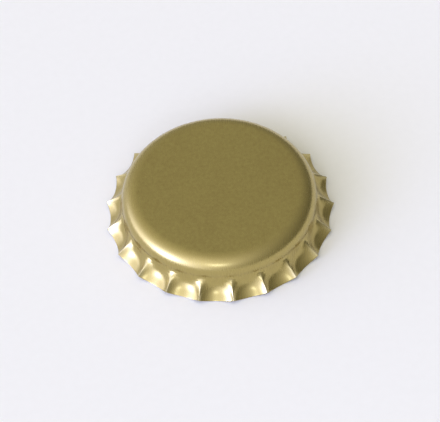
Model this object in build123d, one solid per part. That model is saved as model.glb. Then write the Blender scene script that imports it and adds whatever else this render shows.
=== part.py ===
from build123d import *
from math import asin, atan2, cos, pi, sin, sqrt, tan
import os

# A pry-off crown closure standing on the edge of its skirt, panel up.
# The origin is on the table under the middle of the panel, +Z is the axis, and one crest points to +X.
# Lengths are in mm. Sizes of the sheet are on its outer side unless a name says otherwise.

# Sheet and size over all
overall_height = 6.0
sheet_thickness = 0.235

# Shoulder and collar
shoulder_radius = 2.39
bore_diameter = 26.75
collar_length = 0.36

# Flutes of the flared skirt
flute_count = 21
flare_reach = 2.44
flute_depth_at_edge = 0.66
crest_bend_radius = 0.7
valley_bend_radius = 1.6
ridge_sharpness = 1.7

# Edge of the skirt
tip_lift = 0.72
valley_edge_height = 0.12

# Sealing liner, moulded in place under the panel
web_thickness = 0.3
land_depth = 0.75
land_inner_diameter = 21.4
ramp_width = 0.8

# Steps in which curves are drawn
bend_steps = 3
flare_steps = 2
inside_shoulder_steps = 3

# Radii and heights that follow
bore_radius = bore_diameter / 2
collar_radius = bore_radius + sheet_thickness
tip_radius = collar_radius + flare_reach
valley_edge_radius = tip_radius - flute_depth_at_edge
tip_height = valley_edge_height + tip_lift
half_pitch = pi / flute_count
shoulder_centre_r = collar_radius - shoulder_radius
shoulder_centre_z = overall_height - shoulder_radius
bend_z = shoulder_centre_z - collar_length
join_z = bend_z + collar_length / 2
skirt_bottom_z = -sheet_thickness
under_panel_z = overall_height - sheet_thickness
land_z = under_panel_z - land_depth
web_z = under_panel_z - web_thickness
land_angle = asin((land_z - shoulder_centre_z) / (shoulder_radius - sheet_thickness))


class Meridian:
    """A line down the skirt: round the bend below the collar, then straight through a point of the edge."""

    def __init__(self, bend_radius, edge_radius, edge_height):
        self.bend_radius = bend_radius
        self.centre_r = collar_radius + bend_radius
        out = edge_radius - self.centre_r
        up = edge_height - bend_z
        tangent_length = sqrt(out**2 + up**2 - bend_radius**2)
        self.flare = atan2(up, out) - atan2(-tangent_length, -bend_radius)

    def radius_at(self, z, inset):
        """Radius at height z of the surface that lies inset below the outer side of the sheet."""
        bend = self.bend_radius + inset
        drop = bend_z - z
        straight = drop - bend * sin(self.flare)
        if straight < 0:
            return self.centre_r - sqrt(bend**2 - drop**2)
        return self.centre_r - bend * cos(self.flare) + straight * tan(self.flare)


crest_line = Meridian(crest_bend_radius, tip_radius, tip_height)
valley_line = Meridian(valley_bend_radius, valley_edge_radius, valley_edge_height)
flare_z = bend_z - valley_bend_radius * sin(valley_line.flare)


def polar(radius, angle, z):
    return Vector(radius * cos(angle), radius * sin(angle), z)


def ring_of_arcs(crest_r, valley_r, joint_r, joint_angle, z):
    """Closed curve at height z, two arcs to a flute: one over the crest and one through the valley."""
    arcs = []
    for flute in range(flute_count):
        middle = 2 * half_pitch * flute
        before = polar(joint_r, middle - joint_angle, z)
        after = polar(joint_r, middle + joint_angle, z)
        following = polar(joint_r, middle + 2 * half_pitch - joint_angle, z)
        arcs.append(Edge.make_three_point_arc(before, polar(crest_r, middle, z), after))
        arcs.append(Edge.make_three_point_arc(after, polar(valley_r, middle + half_pitch, z), following))
    return Wire(arcs)


def round_section(z, inset):
    """Section above the flutes, a circle."""
    radius = collar_radius - inset
    # It is cut into arcs where the arcs of ever shallower flutes would meet.
    joint_angle = 2 / (ridge_sharpness * radius**2 * half_pitch)
    return ring_of_arcs(radius, radius, radius, joint_angle, z)


def fluted_section(z, inset):
    """Section of one side of the sheet: a small crest arc and a wide valley arc, tangent to each other."""
    crest_r = crest_line.radius_at(z, inset)
    valley_r = valley_line.radius_at(z, inset)
    # A crest is rounder where the flutes are shallow, and as round as the collar where they begin.
    ridge = 1 / (1 / crest_r + ridge_sharpness * (crest_r - valley_r))
    ridge_centre = crest_r - ridge
    # The valley arc has its centre outside, on the valley's radius, and touches both neighbouring ridges.
    reach = ridge_centre * cos(half_pitch)
    valley_arc = (ridge_centre**2 + valley_r**2 - 2 * valley_r * reach - ridge**2) / (2 * (reach + ridge - valley_r))
    share = ridge / (ridge + valley_arc)
    along = ridge_centre + share * ((valley_r + valley_arc) * cos(half_pitch) - ridge_centre)
    across = share * (valley_r + valley_arc) * sin(half_pitch)
    return ring_of_arcs(crest_r, valley_r, sqrt(along**2 + across**2), atan2(across, along), z)


def evenly(start, end, steps):
    """Values that go from start to end in equal steps, without the start itself."""
    return [start + (end - start) * step / steps for step in range(1, steps + 1)]


def skirt_block(inset):
    """Solid under one side of the sheet, from the round collar down past the edge of the skirt."""
    heights = evenly(bend_z, flare_z, bend_steps) + evenly(flare_z, skirt_bottom_z, flare_steps)
    sections = [round_section(join_z, inset), round_section(bend_z, inset)]
    sections += [fluted_section(z, inset) for z in heights]
    return Solid.make_loft(sections, ruled=True)


def revolved(lines):
    return revolve(Plane.XZ * make_face(Curve() + lines), Axis.Z)


def inside_shoulder(angle):
    """Point of the inner side of the sheet at an angle of the shoulder, which is upright at zero."""
    radius = shoulder_radius - sheet_thickness
    return (shoulder_centre_r + radius * cos(angle), shoulder_centre_z + radius * sin(angle))


def panel_and_collar():
    shoulder = CenterArc((shoulder_centre_r, shoulder_centre_z), shoulder_radius, 0, 90)
    panel = Line((shoulder_centre_r, overall_height), (0, overall_height))
    angles = evenly(pi / 2, land_angle, inside_shoulder_steps) + evenly(land_angle, 0, inside_shoulder_steps)
    inside = [(0, overall_height), (0, under_panel_z), inside_shoulder(pi / 2)]
    inside += [inside_shoulder(angle) for angle in angles]
    inside += [(bore_radius, join_z), (collar_radius, join_z), (collar_radius, shoulder_centre_z)]
    return revolved([panel, Polyline(*inside), shoulder])


def edge_cutter():
    """Ring that trims the skirt to a cone through its valley edges and crest tips, square to the flare."""
    slope = tip_lift / flute_depth_at_edge
    inner_r = valley_edge_radius - flare_reach
    outer_r = tip_radius + flare_reach
    corners = [
        (inner_r, valley_edge_height - slope * flare_reach),
        (outer_r, tip_height + slope * flare_reach),
        (outer_r, -overall_height),
        (inner_r, -overall_height),
    ]
    return revolved([Polyline(*corners, close=True)])


def crown_shell():
    skirt = skirt_block(0) - skirt_block(sheet_thickness) - edge_cutter()
    table = Pos(0, 0, -overall_height / 2) * Cylinder(2 * tip_radius, overall_height)
    return panel_and_collar() + skirt - table


def sealing_liner():
    """Disc with a thicker ring, bonded to the underside of the panel out to the shoulder."""
    land_inner_r = land_inner_diameter / 2
    corners = [(0, web_z), (0, under_panel_z), inside_shoulder(pi / 2)]
    corners += [inside_shoulder(angle) for angle in evenly(pi / 2, land_angle, inside_shoulder_steps)]
    corners += [(land_inner_r, land_z), (land_inner_r - ramp_width, web_z)]
    return revolved([Polyline(*corners, close=True)])


os.makedirs("parts", exist_ok=True)
export_step(crown_shell(), "parts/crown_shell.step")
export_step(sealing_liner(), "parts/sealing_liner.step")
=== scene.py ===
# Gold crown cap, standing on the edge of its skirt on a pale table
import math
import bpy
import numpy as np
from mathutils import Matrix, Vector


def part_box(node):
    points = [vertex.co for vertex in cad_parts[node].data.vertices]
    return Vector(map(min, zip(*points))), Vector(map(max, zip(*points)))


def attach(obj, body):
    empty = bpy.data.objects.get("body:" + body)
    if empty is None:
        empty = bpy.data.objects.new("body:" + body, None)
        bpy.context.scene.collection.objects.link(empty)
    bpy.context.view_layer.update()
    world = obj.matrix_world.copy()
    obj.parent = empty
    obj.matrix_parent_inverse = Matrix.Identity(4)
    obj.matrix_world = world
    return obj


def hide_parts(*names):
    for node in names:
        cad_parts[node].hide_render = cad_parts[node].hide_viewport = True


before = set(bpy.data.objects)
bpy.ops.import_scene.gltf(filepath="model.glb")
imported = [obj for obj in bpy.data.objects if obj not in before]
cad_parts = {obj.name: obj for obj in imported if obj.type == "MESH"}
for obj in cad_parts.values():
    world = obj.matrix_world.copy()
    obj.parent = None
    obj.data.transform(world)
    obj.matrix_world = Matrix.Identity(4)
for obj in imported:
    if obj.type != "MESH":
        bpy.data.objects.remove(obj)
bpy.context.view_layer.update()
mm = 0.001  # the cap's sizes are in millimetres, and go to metres in the mesh
print("frame loaded:", ", ".join(sorted(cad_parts)))


# Grids

def ringsOf(radii, heights, angles):
    # rows of rings for a turned profile: row i has radius radii[i] and height heights[i] all round
    radii = np.asarray(radii)[:, None] * np.ones(angles.size)
    heights = np.asarray(heights)[:, None] * np.ones(angles.size)
    return np.stack([radii * np.cos(angles), radii * np.sin(angles), heights], axis=-1)


def meshFromRings(name, rows, firstPole, lastPole):
    # joins each ring to the next with quads, and closes both ends with fans about a point on the axis
    rowCount, columnCount = rows.shape[:2]
    points = np.concatenate([rows.reshape(-1, 3), [[0, 0, firstPole]], [[0, 0, lastPole]]]) * mm
    column = np.arange(columnCount)
    following = (column + 1) % columnCount
    here = (np.arange(rowCount - 1) * columnCount)[:, None]
    quads = np.stack([here + column, here + columnCount + column, here + columnCount + following,
                      here + following], axis=-1).reshape(-1, 4)
    first = rowCount * columnCount
    last = first + 1
    lowRow = (rowCount - 1) * columnCount
    firstFan = np.stack([np.full(columnCount, first), column, following], axis=-1)
    lastFan = np.stack([lowRow + following, lowRow + column, np.full(columnCount, last)], axis=-1)
    mesh = bpy.data.meshes.new(name)
    mesh.from_pydata(points.tolist(), [], quads.tolist() + firstFan.tolist() + lastFan.tolist())
    mesh.polygons.foreach_set("use_smooth", np.ones(len(mesh.polygons), dtype=bool))
    mesh.update()
    piece = bpy.data.objects.new(name, mesh)
    bpy.context.scene.collection.objects.link(piece)
    return piece


def pointValues(piece, name, values):
    # one number on each point, for a material to read by name
    layer = piece.data.attributes.new(name, "FLOAT", "POINT")
    layer.data.foreach_set("value", np.asarray(values, dtype=np.float32))


# Crown shell

shell = {
    "flutes": 21,
    "sheet": 0.235,
    "shoulderRadius": 2.42,
    "panelRise": 0.09,
    "collarRadius": 13.61,
    "collarLength": 0.24,
    "ridgeBend": 0.9,        # radius of the bend below the collar, down a ridge
    "scoopStart": 0.25,      # how far below the collar the middle of a scoop leaves the upright
    "scoopBend": 2.95,       # radius of its bend from there
    "scoopDepth": 0.66,      # at the edge
    "scoopWidest": 8.5,      # radius across a scoop, near its arched top
    "ridgeRound": 0.14,      # how far the rounding of a ridge reaches into the scoops at the edge
    "archRound": 0.28,       # and near the arched tops
    "tipLift": 0.72,         # height of the ridges' tips above the scoops' edges
    "scoopEdge": 0.12,       # height of the scoops' outer edge above the table
    "edgeRound": 0.07,       # how far the sheared edge bulges
    "drawnReach": 0.7,       # share of the shoulder over which its colour changes
    "panelStart": 0.06,      # innermost ring of the panel, as a share of its radius
    "panelRows": 7,
    "shoulderRows": 18,
    "collarRows": 3,
    "skirtRows": 34,
    "rowCrowding": 1.35,     # power that draws the skirt's rows up to the collar
    "edgeRows": 7,
    "columnsPerFlute": 34,
    "columnCrowding": 0.8,   # how strongly the columns are drawn to the ridges, where the sheet turns most
}


def crownShell(v):
    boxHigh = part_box("crown_shell")[1]
    topHeight = boxHigh[2] / mm
    tipRadius = boxHigh[0] / mm
    halfPitch = math.pi / v["flutes"]
    shoulderIn = v["collarRadius"] - v["shoulderRadius"]
    shoulderHeight = topHeight - v["panelRise"] - v["shoulderRadius"]
    bendHeight = shoulderHeight - v["collarLength"]
    scoopRadius = tipRadius - v["scoopDepth"]
    tipHeight = v["scoopEdge"] + v["tipLift"]

    def lineDown(start, bend, endRadius, endHeight):
        # angle from upright of the straight line that leaves the bend's circle and runs to the edge
        out = endRadius - v["collarRadius"] - bend
        up = endHeight - bendHeight + start
        run = math.sqrt(out**2 + up**2 - bend**2)
        return math.atan2(up, out) - math.atan2(-run, -bend)

    def radiusDown(height, inset, start, bend, flare):
        # the collar's radius plus the bend's circle, then a straight flare, each set in by the inset
        centre = v["collarRadius"] + bend
        insetBend = bend + inset
        drop = np.maximum(bendHeight - start - height, 0.0)
        onBend = centre - np.sqrt(np.maximum(insetBend**2 - drop**2, 0.0))
        straight = drop - insetBend * math.sin(flare)
        onFlare = centre - insetBend * math.cos(flare) + straight * math.tan(flare)
        return np.where(straight < 0, onBend, onFlare)

    ridgeFlare = lineDown(0.0, v["ridgeBend"], tipRadius, tipHeight)
    scoopFlare = lineDown(v["scoopStart"], v["scoopBend"], scoopRadius, v["scoopEdge"])

    def scoopAcross(middle, arc, fromMiddle):
        # an arc about a centre outside: r = (m + b) cos a - root(b squared - ((m + b) sin a) squared),
        # where m is the radius of its middle, b its own radius and a the angle from its middle
        centre = middle + arc
        root = np.sqrt(np.maximum(arc**2 - (centre * np.sin(fromMiddle)) ** 2, 0.0))
        return centre * np.cos(fromMiddle) - root

    def skirtRadius(angle, height, inset):
        # the smaller of two radii: a turned flare, and scoops pressed into it. A scoop's arc is the one that
        # meets its neighbours on the flare, and near the top of the scoop a tighter one
        ridge = radiusDown(height, inset, 0.0, v["ridgeBend"], ridgeFlare)
        middle = radiusDown(height, inset, v["scoopStart"], v["scoopBend"], scoopFlare)
        leastReach = 1e-5  # keeps the arc finite where ridge and scoop are level
        reach = np.maximum(ridge * math.cos(halfPitch) - middle, leastReach)
        meeting = (ridge**2 - 2 * ridge * middle * math.cos(halfPitch) + middle**2) / (2 * reach)
        fromMiddle = halfPitch - np.abs((angle + halfPitch) % (2 * halfPitch) - halfPitch)
        scoop = scoopAcross(middle, np.minimum(meeting, v["scoopWidest"]), fromMiddle)
        # where they meet, the smaller is rounded by near squared over four times the rounding, where near is
        # the rounding less the distance between them
        upward = np.clip((height - tipHeight) / (bendHeight - tipHeight), 0.0, 1.0)
        rounding = v["ridgeRound"] + (v["archRound"] - v["ridgeRound"]) * upward
        near = np.maximum(rounding - np.abs(ridge - scoop), 0.0)
        rounded = np.minimum(ridge, scoop) - near**2 / (4 * rounding)
        # what this would take off the collar is given back, less and less from the collar down to the tips
        collar = v["collarRadius"] - inset
        aboveCollar = scoopAcross(collar, v["scoopWidest"], fromMiddle) - collar
        nearCollar = np.maximum(v["archRound"] - aboveCollar, 0.0)
        fade = upward**2 * (3 - 2 * upward)
        return rounded + fade * nearCollar**2 / (4 * v["archRound"])

    # the blank is a round disc, so each line down the skirt is as long, and ends on a circle about a pivot
    reachTip = tipRadius - v["collarRadius"]
    reachScoop = scoopRadius - v["collarRadius"]
    rise = (reachTip**2 + v["tipLift"] ** 2 - reachScoop**2) / (2 * v["tipLift"])
    length = math.hypot(reachScoop, rise)
    pivot = rise + v["scoopEdge"]

    def edgeHeight(angles, inset):
        # halving steps find where the skirt meets that circle
        lowest, halvings = -0.5, 40
        low, high = np.full(angles.shape, lowest), np.full(angles.shape, pivot)
        for _ in range(halvings):
            halfway = (low + high) / 2
            outward = skirtRadius(angles, halfway, inset) - v["collarRadius"]
            beyond = np.hypot(outward, halfway - pivot) > length
            low, high = np.where(beyond, halfway, low), np.where(beyond, high, halfway)
        return (low + high) / 2

    columns = v["flutes"] * v["columnsPerFlute"]
    even = np.arange(columns) * 2 * math.pi / columns
    angles = even - v["columnCrowding"] / v["flutes"] * np.sin(even * v["flutes"])

    def side(inset):
        # turned rings: a panel that falls with the square of its radius, a shoulder that is a quarter of a
        # circle, and an upright collar. Then the fluted skirt, in even steps to a power, down to the edge
        flat = np.linspace(v["panelStart"], 1.0, v["panelRows"] + 1)[:-1]
        turn = np.linspace(math.pi / 2, 0.0, v["shoulderRows"])
        panelR, panelZ = shoulderIn * flat, topHeight - inset - v["panelRise"] * flat**2
        shoulderR = shoulderIn + (v["shoulderRadius"] - inset) * np.cos(turn)
        shoulderZ = shoulderHeight + (v["shoulderRadius"] - inset) * np.sin(turn)
        collarR = np.full(v["collarRows"], v["collarRadius"] - inset)
        collarZ = np.linspace(shoulderHeight, bendHeight, v["collarRows"] + 1)[1:]
        turned = ringsOf(np.concatenate([panelR, shoulderR, collarR]),
                         np.concatenate([panelZ, shoulderZ, collarZ]), angles)
        edge = edgeHeight(angles, inset)
        down = np.linspace(0, 1, v["skirtRows"] + 1)[1:, None] ** v["rowCrowding"]
        height = bendHeight - down * (bendHeight - edge)
        radius = skirtRadius(angles[None, :], height, inset)
        fluted = np.stack([radius * np.cos(angles), radius * np.sin(angles), height], axis=-1)
        return turned, fluted

    outerTurned, outerFluted = side(0.0)
    innerTurned, innerFluted = side(v["sheet"])
    outerEdge, innerEdge = outerFluted[-1], innerFluted[-1]
    downward = outerFluted[-1] - outerFluted[-2]
    downward /= np.linalg.norm(downward, axis=-1, keepdims=True)
    # a half ellipse from the outer side to the inner side of the sheet
    around = np.linspace(0, math.pi, v["edgeRows"] + 2)[1:-1, None, None]
    middle, half = (outerEdge + innerEdge) / 2, (outerEdge - innerEdge) / 2
    edgeRows = middle + half * np.cos(around) + downward * v["edgeRound"] * (np.sin(around) - 1)
    outerFluted[-1] -= downward * v["edgeRound"]
    innerFluted[-1] -= downward * v["edgeRound"]
    rows = np.concatenate([outerTurned, outerFluted, edgeRows, innerFluted[::-1], innerTurned[::-1]])
    piece = meshFromRings("crownShellLook", rows, topHeight, topHeight - v["sheet"])

    # each value below ends with those of the outer and the inner point on the axis
    # side of the sheet: 0 outside, rising over the edge to 1 inside
    outerCount = len(outerTurned) + len(outerFluted)
    overEdge = np.linspace(0, 1, v["edgeRows"] + 2)[1:-1]
    inside = np.concatenate([np.zeros(outerCount), overEdge, np.ones(outerCount)])
    pointValues(piece, "inside", np.concatenate([np.repeat(inside, columns), [0.0, 1.0]]))
    # 0 down to the collar, rising to 1 at the edge
    downOuter = np.concatenate([np.zeros(len(outerTurned)), np.linspace(0, 1, len(outerFluted))])
    down = np.concatenate([downOuter, np.ones(v["edgeRows"]), downOuter[::-1]])
    pointValues(piece, "down", np.concatenate([np.repeat(down, columns), [0.0, 0.0]]))
    # 0 on the panel, rising to 1 over the shoulder
    reached = np.hypot(rows[..., 0], rows[..., 1])
    drawn = np.clip((reached - shoulderIn) / (v["shoulderRadius"] * v["drawnReach"]), 0.0, 1.0)
    pointValues(piece, "drawn", np.concatenate([drawn.ravel(), [0.0, 0.0]]))
    # 1 on the line of a ridge, 0 in the middle of a scoop
    ridgeLine = np.cos(angles * v["flutes"]) * 0.5 + 0.5
    pointValues(piece, "ridge", np.concatenate([np.tile(ridgeLine, len(rows)), [0.5, 0.5]]))
    print("crown shell:", len(piece.data.polygons), "faces, edge heights",
          round(float(edgeRows[..., 2].min()), 3), "to", round(float(outerEdge[:, 2].max()), 3), "mm")
    return piece


crown = crownShell(shell)
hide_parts("crown_shell")
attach(crown, "root")


# Sealing liner

liner = {
    "web": 0.3,
    "landDepth": 0.75,
    "landInner": 10.7,       # radius where the land ends and the ramp begins
    "ramp": 0.8,
    "ribs": 2,
    "ribHeight": 0.09,
    "ribWidth": 0.36,
    "ribSpacing": 0.72,
    "gap": 0.004,            # keeps the hidden side just clear of the sheet
    "rimStep": 0.02,         # from the rim in to the first ring of the land
    "innerStart": 0.4,       # innermost ring of the web
    "hiddenStart": 0.05,     # innermost ring of the hidden side, as a share of the panel's radius
    "hiddenRows": 7,
    "shoulderRows": 10,
    "landRows": 90,
    "webRows": 14,
    "webStep": 0.1,          # from the foot of the ramp in to the first ring of the web
    "columns": 360,
}


def sealingLiner(v, s):
    # v holds the liner's values, and s the shell's
    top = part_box("sealing_liner")[1][2] / mm
    shoulderIn = s["collarRadius"] - s["shoulderRadius"]
    inner = s["shoulderRadius"] - s["sheet"]
    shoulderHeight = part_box("crown_shell")[1][2] / mm - s["panelRise"] - s["shoulderRadius"]
    webHeight, landHeight = top - v["web"], top - v["landDepth"]
    rimAngle = math.asin((landHeight - shoulderHeight) / inner)
    landOuter = shoulderIn + inner * math.cos(rimAngle)
    rampInner = v["landInner"] - v["ramp"]

    # the hidden side follows the panel's dome and the shoulder's circle, at the gap's distance
    clear = inner - v["gap"]
    flat = np.linspace(v["hiddenStart"], 1.0, v["hiddenRows"] + 1)[:-1]
    turn = np.linspace(math.pi / 2, rimAngle, v["shoulderRows"])
    hiddenR = np.concatenate([shoulderIn * flat, shoulderIn + clear * np.cos(turn)])
    domeZ = top - v["gap"] - s["panelRise"] * flat**2
    hiddenZ = np.concatenate([domeZ, shoulderHeight + clear * np.sin(turn)])

    # the open side: a flat land, a ramp of share squared times (3 - 2 share), and a flat web. Each rib on
    # the land is its height times (1 - the square of the distance from its middle over half its width)
    openR = np.concatenate([np.linspace(landOuter - v["rimStep"], rampInner, v["landRows"]),
                            np.linspace(rampInner - v["webStep"], v["innerStart"], v["webRows"])])
    blend = np.clip((openR - rampInner) / v["ramp"], 0, 1)
    blend = blend * blend * (3 - 2 * blend)
    openZ = webHeight + (landHeight - webHeight) * blend
    for number in range(1, v["ribs"] + 1):
        off = (openR - v["landInner"] - number * v["ribSpacing"]) / (v["ribWidth"] / 2)
        openZ = openZ - v["ribHeight"] * np.maximum(0, 1 - off**2)
    angles = np.arange(v["columns"]) * 2 * math.pi / v["columns"]
    rows = ringsOf(np.concatenate([hiddenR, openR]), np.concatenate([hiddenZ, openZ]), angles)
    piece = meshFromRings("sealingLinerLook", rows, top - v["gap"], webHeight)
    print("sealing liner:", len(piece.data.polygons), "faces")
    return piece


seal = sealingLiner(liner, shell)
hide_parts("sealing_liner")
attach(seal, "root")


# Shader maths

class Wire:
    # wraps a socket or a number, so that an expression adds its Math nodes
    def __init__(self, tree, value):
        self.tree, self.value = tree, value

    def math(self, operation, *others):
        sockets = dict(enumerate([self, *others]))
        return self.tree.add("ShaderNodeMath", {"operation": operation}, sockets)

    def __add__(self, other):
        return self.math("ADD", other)

    def __mul__(self, other):
        return self.math("MULTIPLY", other)

    def __pow__(self, other):
        return self.math("POWER", other)

    def __sub__(self, other):
        return self.math("SUBTRACT", other)

    def __rsub__(self, other):
        return Wire(self.tree, other).math("SUBTRACT", self)

    __radd__, __rmul__ = __add__, __mul__

    def clamp(self):
        return self.tree.add("ShaderNodeClamp", {}, {0: self})


class Tree:
    # one node tree, with one method that adds any node
    def __init__(self, owner):
        owner.use_nodes = True
        self.nodes, self.links = owner.node_tree.nodes, owner.node_tree.links
        self.nodes.clear()

    def add(self, kind, settings, inputs, output=0):
        node = self.nodes.new(kind)
        for name, value in settings.items():
            setattr(node, name, value)
        for key, value in inputs.items():
            value = value.value if isinstance(value, Wire) else value
            if isinstance(value, bpy.types.NodeSocket):
                self.links.new(value, node.inputs[key])
            else:
                node.inputs[key].default_value = value
        return Wire(self, node.outputs[output]) if node.outputs else None

    def mixColour(self, share, first, second):
        # a Mix node's colours are its sockets 6 and 7, and its output 2
        return self.add("ShaderNodeMix", {"data_type": "RGBA"}, {0: share, 6: first, 7: second}, 2)

    def noise(self, place, scale, detail):
        return self.add("ShaderNodeTexNoise", {}, {"Vector": place, "Scale": scale, "Detail": detail,
                                                   "Roughness": 0.55})

    def pointValue(self, name):
        return self.add("ShaderNodeAttribute", {"attribute_name": name}, {}, "Fac")


# Gold lacquer on tinplate

lacquer = {
    "gold": (0.417, 0.340, 0.103, 1),       # on the flat panel
    "goldDeep": (0.350, 0.270, 0.080, 1),
    "goldDrawn": (0.440, 0.352, 0.118, 1),  # where forming stretches the lacquer thinner
    "goldWearAndHighlight": (0.53, 0.45, 0.21, 1),      # along the ridges: partly rubbed wear, partly a painted highlight on every ridge
    "steel": (0.46, 0.45, 0.43, 1),
    "insideColour": (0.56, 0.55, 0.52, 1),
    "roughness": 0.27,
    "coat": 0.34,
    "coatRoughness": 0.18,
    "coatIndex": 1.55,
    # scales of the noises are per metre
    "cloudScale": 110.0,                    # slow drift of the lacquer's depth
    "speckleScale": 2300.0,                 # fine mottling of the lacquer
    "grainScale": 5200.0,                   # orange peel of the cured lacquer
    "rolledScale": (9000.0, 350.0, 350.0),  # lines left by the rolling mill, drawn out along the sheet
    "cloudDetail": 3.0,
    "fineDetail": 2.0,
    # how much each counts in the lacquer's depth, its roughness and its height
    "cloudInDepth": 0.8,
    "speckleInDepth": 1.8,
    "cloudInRoughness": 0.06,
    "rolledInRoughness": 0.08,
    "wearAndHighlightInRoughness": 0.06,
    "grainInHeight": 0.6,
    "rolledInHeight": 0.4,
    "bumpStrength": 0.06,
    "bumpDistance": 0.00002,
    # wear and a painted highlight along the ridges, which grow towards the edge and are patchy
    "wearAndHighlightNarrowness": 30,
    "wearAndHighlightLevel": 1.6,
    "wearAndHighlightEven": 0.7,
    "wearAndHighlightPatches": 1.5,
    # where over the edge of the sheet the bare steel begins and ends, and the inner side begins
    "steelStart": 0.1,
    "steelEnd": 0.9,
    "steelSharpness": 14,
    "insideStart": 0.8,
    "insideSharpness": 8,
}


def goldLacquer(v):
    material = bpy.data.materials.new("goldLacquer")
    tree = Tree(material)
    place = tree.add("ShaderNodeTexCoord", {}, {}, "Object")
    inside = tree.pointValue("inside")
    down = tree.pointValue("down")
    drawn = tree.pointValue("drawn")
    ridge = tree.pointValue("ridge")

    cloud = tree.noise(place, v["cloudScale"], v["cloudDetail"])
    speckle = tree.noise(place, v["speckleScale"], v["fineDetail"])
    grain = tree.noise(place, v["grainScale"], v["fineDetail"])
    stretched = tree.add("ShaderNodeMapping", {}, {"Vector": place, "Scale": v["rolledScale"]})
    rolled = tree.noise(stretched, 1.0, v["fineDetail"])

    depth = (0.5 + (cloud - 0.5) * v["cloudInDepth"] + (speckle - 0.5) * v["speckleInDepth"]).clamp()
    patches = v["wearAndHighlightEven"] + (speckle - 0.5) * v["wearAndHighlightPatches"]
    # painted highlight: a paler line down every ridge, all round, partly rubbed wear and partly standing in
    # for the ridges' highlights
    wearAndHighlight = (ridge ** v["wearAndHighlightNarrowness"] * down * v["wearAndHighlightLevel"] * patches).clamp()
    gold = tree.mixColour(depth, v["goldDeep"], v["gold"])
    gold = tree.mixColour(drawn, gold, v["goldDrawn"])
    gold = tree.mixColour(wearAndHighlight, gold, v["goldWearAndHighlight"])
    steelIn = ((inside - v["steelStart"]) * v["steelSharpness"]).clamp()
    steelOut = ((v["steelEnd"] - inside) * v["steelSharpness"]).clamp()
    innerSide = ((inside - v["insideStart"]) * v["insideSharpness"]).clamp()
    colour = tree.mixColour(innerSide, gold, v["insideColour"])
    colour = tree.mixColour(steelIn * steelOut, colour, v["steel"])
    uneven = (cloud - 0.5) * v["cloudInRoughness"] + (rolled - 0.5) * v["rolledInRoughness"]
    roughness = v["roughness"] + uneven - wearAndHighlight * v["wearAndHighlightInRoughness"]
    height = grain * v["grainInHeight"] + rolled * v["rolledInHeight"]
    bump = tree.add("ShaderNodeBump", {}, {
        "Strength": v["bumpStrength"], "Distance": v["bumpDistance"], "Height": height})
    shader = tree.add("ShaderNodeBsdfPrincipled", {}, {
        "Base Color": colour, "Metallic": 1.0, "Roughness": roughness, "Normal": bump,
        "Coat Weight": v["coat"], "Coat Roughness": v["coatRoughness"], "Coat IOR": v["coatIndex"]})
    tree.add("ShaderNodeOutputMaterial", {}, {"Surface": shader})
    return material


# Pale, waxy plastic of the liner

plastic = {
    "shaded": (0.70, 0.70, 0.65, 1),
    "pale": (0.80, 0.80, 0.76, 1),
    "roughness": 0.42,
    "cloudScale": 260.0,
    "grainScale": 4200.0,
    "cloudDetail": 3.0,
    "fineDetail": 2.0,
    "cloudInRoughness": 0.1,
    "bumpStrength": 0.15,
    "bumpDistance": 0.00003,
    "spread": 0.25,                         # share of the light that spreads below the surface
    "spreadRadius": (0.0006, 0.0006, 0.0005),
}


def linerPlastic(v):
    material = bpy.data.materials.new("linerPlastic")
    tree = Tree(material)
    place = tree.add("ShaderNodeTexCoord", {}, {}, "Object")
    cloud = tree.noise(place, v["cloudScale"], v["cloudDetail"])
    grain = tree.noise(place, v["grainScale"], v["fineDetail"])
    colour = tree.mixColour(cloud, v["shaded"], v["pale"])
    roughness = v["roughness"] + (cloud - 0.5) * v["cloudInRoughness"]
    bump = tree.add("ShaderNodeBump", {}, {
        "Strength": v["bumpStrength"], "Distance": v["bumpDistance"], "Height": grain})
    shader = tree.add("ShaderNodeBsdfPrincipled", {}, {
        "Base Color": colour, "Roughness": roughness, "Normal": bump,
        "Subsurface Weight": v["spread"], "Subsurface Radius": v["spreadRadius"], "Subsurface Scale": 1.0})
    tree.add("ShaderNodeOutputMaterial", {}, {"Surface": shader})
    return material


crown.data.materials.append(goldLacquer(lacquer))
seal.data.materials.append(linerPlastic(plastic))
print("materials made")


# Table and light, with sizes and places in metres

studio = {
    "tableSize": 4.0,
    "tablePale": (0.93, 0.91, 0.775, 1),
    "tableFleck": (0.90, 0.88, 0.745, 1),
    "fleckScale": 900.0,
    "fleckDetail": 3.0,
    # soft glows of the sky: colour, level, direction, and a power, which is higher the narrower the glow is
    "glows": [
        ((1.00, 0.98, 0.82, 1), 0.15, (0.0, 0.0, 1.0), 0.0),        # the same all round
        ((1.00, 0.99, 0.97, 1), 0.79, (-0.82, -0.25, 0.52), 1.2),   # a bright room on the left
        ((1.00, 1.02, 1.45, 1), 0.67, (-0.22, -0.72, 0.66), 13.0),  # a cool ceiling in front
        ((1.00, 1.06, 1.90, 1), 1.90, (-0.87, -0.49, -0.08), 9.0),  # a window on the left
        ((0.95, 1.08, 2.40, 1), 5.50, (-0.82, -0.50, 0.27), 70.0),  # its brightest part
        ((1.00, 1.06, 2.00, 1), 0.80, (-0.96, 0.20, 0.12), 35.0),   # its far end
    ],
    # a soft box in front, which aims at the middle of the cap
    "boxPlace": (-0.03, -0.33, 0.21),
    "boxWidth": 0.10,
    "boxHeight": 0.08,
    "boxLevel": 2.9,
    "boxColour": (0.80, 0.90, 1.35),
}


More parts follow.
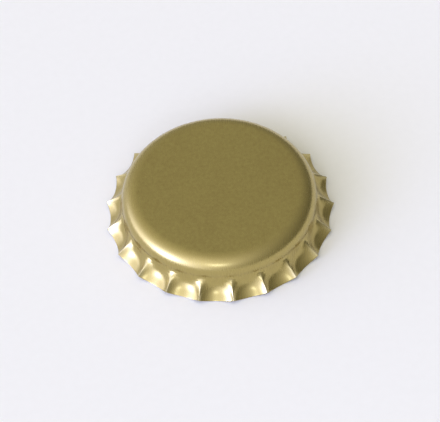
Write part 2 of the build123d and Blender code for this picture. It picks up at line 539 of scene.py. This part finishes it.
def paleTable(v):
    half = v["tableSize"] / 2
    corners = [(-half, -half, 0), (half, -half, 0), (half, half, 0), (-half, half, 0)]
    mesh = bpy.data.meshes.new("table")
    mesh.from_pydata(corners, [], [(0, 1, 2, 3)])
    table = bpy.data.objects.new("table", mesh)
    bpy.context.scene.collection.objects.link(table)
    material = bpy.data.materials.new("paleTable")
    tree = Tree(material)
    place = tree.add("ShaderNodeTexCoord", {}, {}, "Object")
    flecks = tree.noise(place, v["fleckScale"], v["fleckDetail"])
    paper = tree.mixColour(flecks, v["tableFleck"], v["tablePale"])
    matt = tree.add("ShaderNodeBsdfDiffuse", {}, {"Color": paper})
    tree.add("ShaderNodeOutputMaterial", {}, {"Surface": matt})
    mesh.materials.append(material)


def softBox(v):
    # a flat lamp whose face shines at the given level, whatever its size
    data = bpy.data.lights.new("softBoxInFront", "AREA")
    data.shape, data.size, data.size_y = "RECTANGLE", v["boxWidth"], v["boxHeight"]
    data.energy = v["boxLevel"] * math.pi * v["boxWidth"] * v["boxHeight"]
    data.color = v["boxColour"]
    lamp = bpy.data.objects.new("softBoxInFront", data)
    bpy.context.scene.collection.objects.link(lamp)
    facing = (-Vector(v["boxPlace"])).to_track_quat("-Z", "Y")
    lamp.matrix_world = Matrix.Translation(v["boxPlace"]) @ facing.to_matrix().to_4x4()


def sky(v):
    # each glow = level times ((1 + cosine of the angle from its middle) / 2) to its power, and all add up
    world = bpy.data.worlds.new("sky")
    bpy.context.scene.world = world
    tree = Tree(world)
    direction = tree.add("ShaderNodeTexCoord", {}, {}, "Generated")
    total = None
    for colour, level, towards, power in v["glows"]:
        vectors = {0: direction, 1: Vector(towards).normalized()}
        cosine = tree.add("ShaderNodeVectorMath", {"operation": "DOT_PRODUCT"}, vectors, "Value")
        strength = level * (cosine * 0.5 + 0.5) ** power
        glow = tree.add("ShaderNodeBackground", {}, {"Color": colour, "Strength": strength})
        total = tree.add("ShaderNodeAddShader", {}, {0: total, 1: glow}) if total else glow
    tree.add("ShaderNodeOutputWorld", {}, {"Surface": total})


# Camera, with places in metres

photoView = {
    "elevation": 52.29,
    "roll": 3.13,
    "distance": 0.392,
    "aim": (0.0, 0.000144, 0.000231),
    "pixelsPerMillimetre": 7.138,  # at the aim point, in a picture of the width below
    "pictureWidth": 440,
    "sensorWidth": 36.0,
}


def photoCamera(v):
    # looks down along +Y at its elevation, turned about that line by its roll
    tilt, roll = math.radians(v["elevation"]), math.radians(v["roll"])
    forward = Vector((0, math.cos(tilt), -math.sin(tilt)))
    up = Vector((0, math.sin(tilt), math.cos(tilt)))
    right = Vector((1, 0, 0))
    cameraRight = right * math.cos(roll) - up * math.sin(roll)
    cameraUp = right * math.sin(roll) + up * math.cos(roll)
    place = Vector(v["aim"]) - forward * v["distance"]
    data = bpy.data.cameras.new("camera")
    data.sensor_width = v["sensorWidth"]
    data.lens = v["pixelsPerMillimetre"] * v["distance"] / mm * v["sensorWidth"] / v["pictureWidth"]
    camera = bpy.data.objects.new("camera", data)
    bpy.context.scene.collection.objects.link(camera)
    turn = Matrix((cameraRight, cameraUp, -forward)).transposed().to_4x4()
    camera.matrix_world = Matrix.Translation(place) @ turn
    bpy.context.scene.camera = camera


paleTable(studio)
sky(studio)
softBox(studio)
photoCamera(photoView)
bpy.context.scene.view_settings.view_transform = "Standard"
print("table, light and camera placed")
